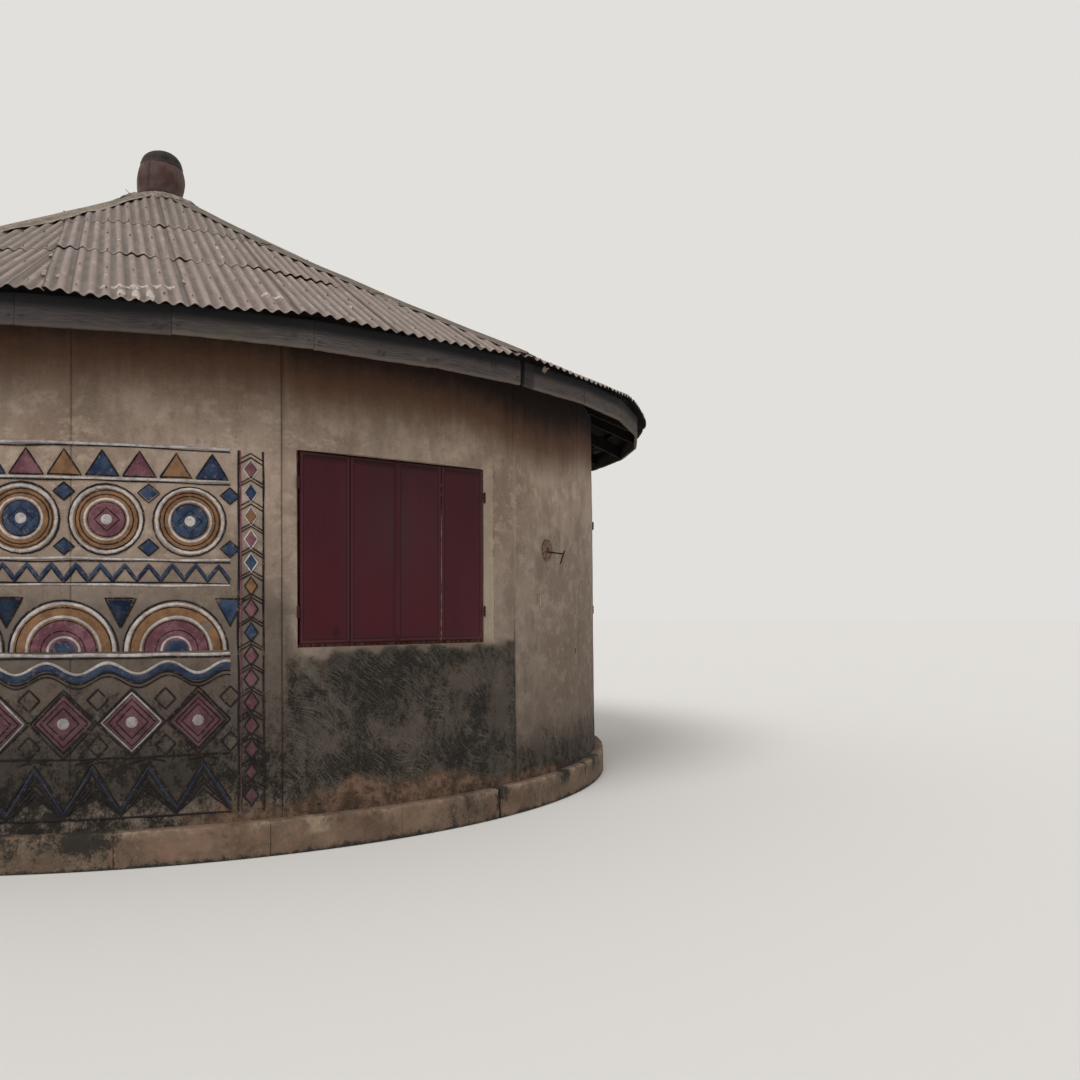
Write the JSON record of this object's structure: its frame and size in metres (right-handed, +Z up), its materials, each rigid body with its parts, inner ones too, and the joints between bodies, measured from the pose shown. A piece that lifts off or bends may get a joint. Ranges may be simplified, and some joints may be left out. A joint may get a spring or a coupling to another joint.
{
  "type": "round rondavel house with a corrugated conical roof",
  "caption": "Large round rendered house with folding steel shutters, a kerb, deep boarded eaves and a conical roof of corrugated sheet topped by a drum finial.",
  "frame": {"origin": "on the axis of the round wall, at the level of the paving", "axes": "+Z up; -Y points towards the side from which the picture was taken, +X to the right as seen from there"},
  "size_m": [9.28, 9.28, 5.8667],
  "materials": {
    "render": "floated sand and cement render, stained and worn",
    "concrete": "rough dusty concrete",
    "maroon_steel": "faded maroon gloss paint on sheet steel",
    "timber": "sawn softwood, darkened",
    "grey_board": "weathered grey board",
    "roof_sheet": "weathered galvanised sheet with dust and light rust",
    "cap_sheet": "dull galvanised sheet",
    "drum_steel": "rusted red-brown steel",
    "rusted_steel": "dark rusted steel"
  },
  "bodies": {
    "root": {"plain_wall_1": "render", "plain_wall_2": "render", "plain_wall_3": "render", "plain_wall_4": "render", "plain_wall_5": "render", "plain_wall_6": "render", "window_wall_1": "render", "window_wall_2": "render", "window_wall_3": "render", "window_wall_4": "render", "window_wall_5": "render", "door_wall_left": "render", "door_wall_right": "render", "door_lintel": "render", "floor_slab": "concrete", "kerb": "concrete", "door_step": "concrete", "window_frames": "maroon_steel", "door_frame": "maroon_steel", "shutters_1": "maroon_steel", "shutters_2": "maroon_steel", "shutters_3": "maroon_steel", "shutters_4": "maroon_steel", "shutters_5": "maroon_steel", "wall_plate": "timber", "main_rafters": "timber", "jack_rafters": "timber", "purlins": "timber", "apex_block": "timber", "fascia_boards": "grey_board", "roof_run_1": "roof_sheet", "roof_run_2": "roof_sheet", "roof_run_3": "roof_sheet", "roof_run_4": "roof_sheet", "roof_run_5": "roof_sheet", "roof_run_6": "roof_sheet", "hip_caps": "cap_sheet", "apex_collar": "cap_sheet", "finial_drum": "drum_steel", "finial_lid": "rusted_steel", "wall_hook": "rusted_steel"}
  },
  "joints": []
}
